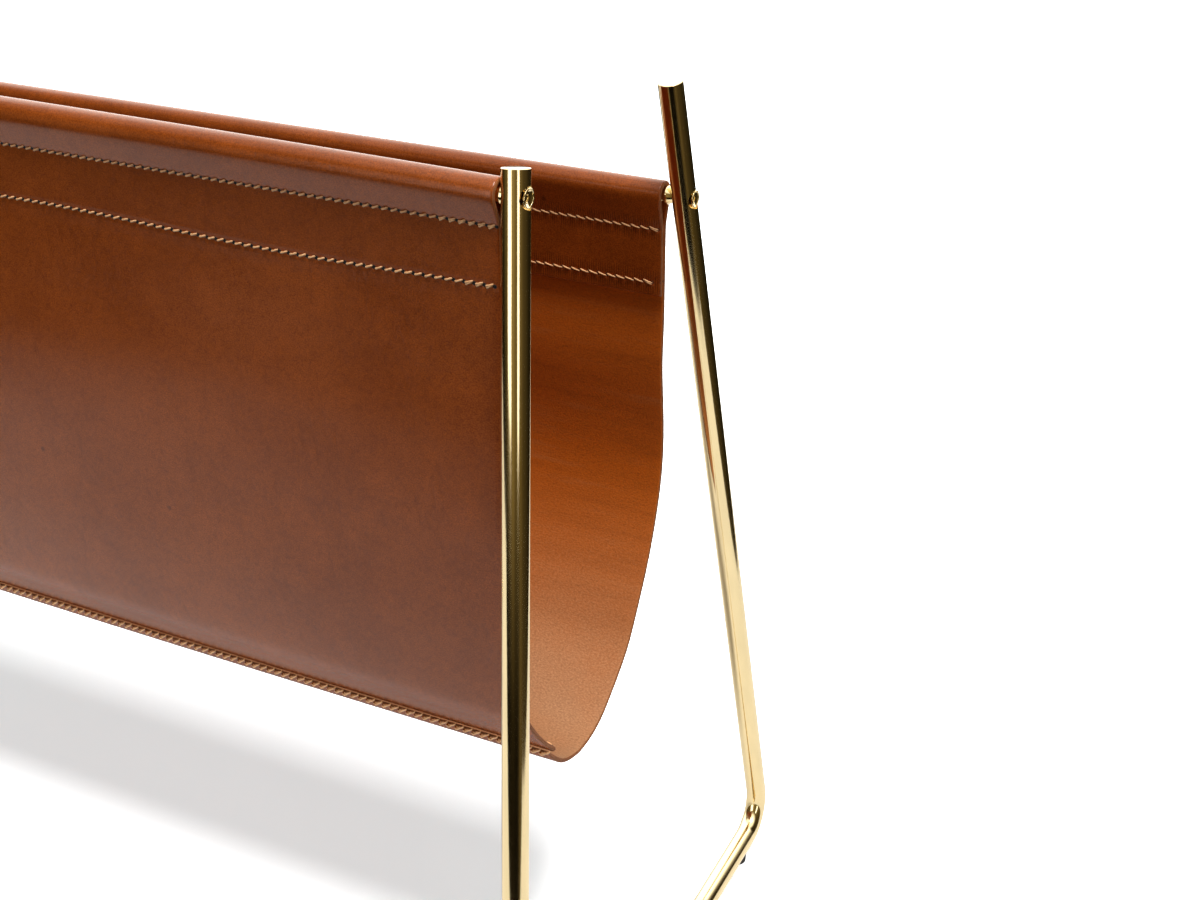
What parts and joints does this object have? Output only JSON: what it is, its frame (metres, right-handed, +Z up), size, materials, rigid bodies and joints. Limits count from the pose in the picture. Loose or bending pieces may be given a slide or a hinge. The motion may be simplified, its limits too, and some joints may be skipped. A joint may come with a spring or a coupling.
{
  "type": "magazine basket",
  "caption": "Free-standing magazine basket: a stitched leather sling hung on rods between two bent brass bar end frames.",
  "frame": {"origin": "on the floor, under the middle of the whole basket's box", "axes": "+X along the basket from its left end frame to its right one, +Y from the higher front rim to the lower rear rim, +Z up"},
  "size_m": [0.5642, 0.2668, 0.4049],
  "materials": {
    "brass": "polished, faint lengthwise polishing lines",
    "leather": "waxed vegetable-tanned saddle leather, smooth grain, satin",
    "thread": "waxed golden-tan thread",
    "rubber": "matt"
  },
  "bodies": {
    "root": {"right_end_frame": "brass", "right_front_spacer": "brass", "right_front_screw": "brass", "right_front_floor_pad": "rubber", "right_rear_spacer": "brass", "right_rear_screw": "brass", "right_rear_floor_pad": "rubber", "left_end_frame": "brass", "left_front_spacer": "brass", "left_front_screw": "brass", "left_front_floor_pad": "rubber", "left_rear_spacer": "brass", "left_rear_screw": "brass", "left_rear_floor_pad": "rubber", "front_rod": "brass", "rear_rod": "brass", "front_panel": "leather", "rear_panel": "leather", "front_upper_thread": "thread", "rear_upper_thread": "thread", "front_lower_thread": "thread", "rear_lower_thread": "thread", "bottom_seam_thread": "thread"}
  },
  "joints": []
}
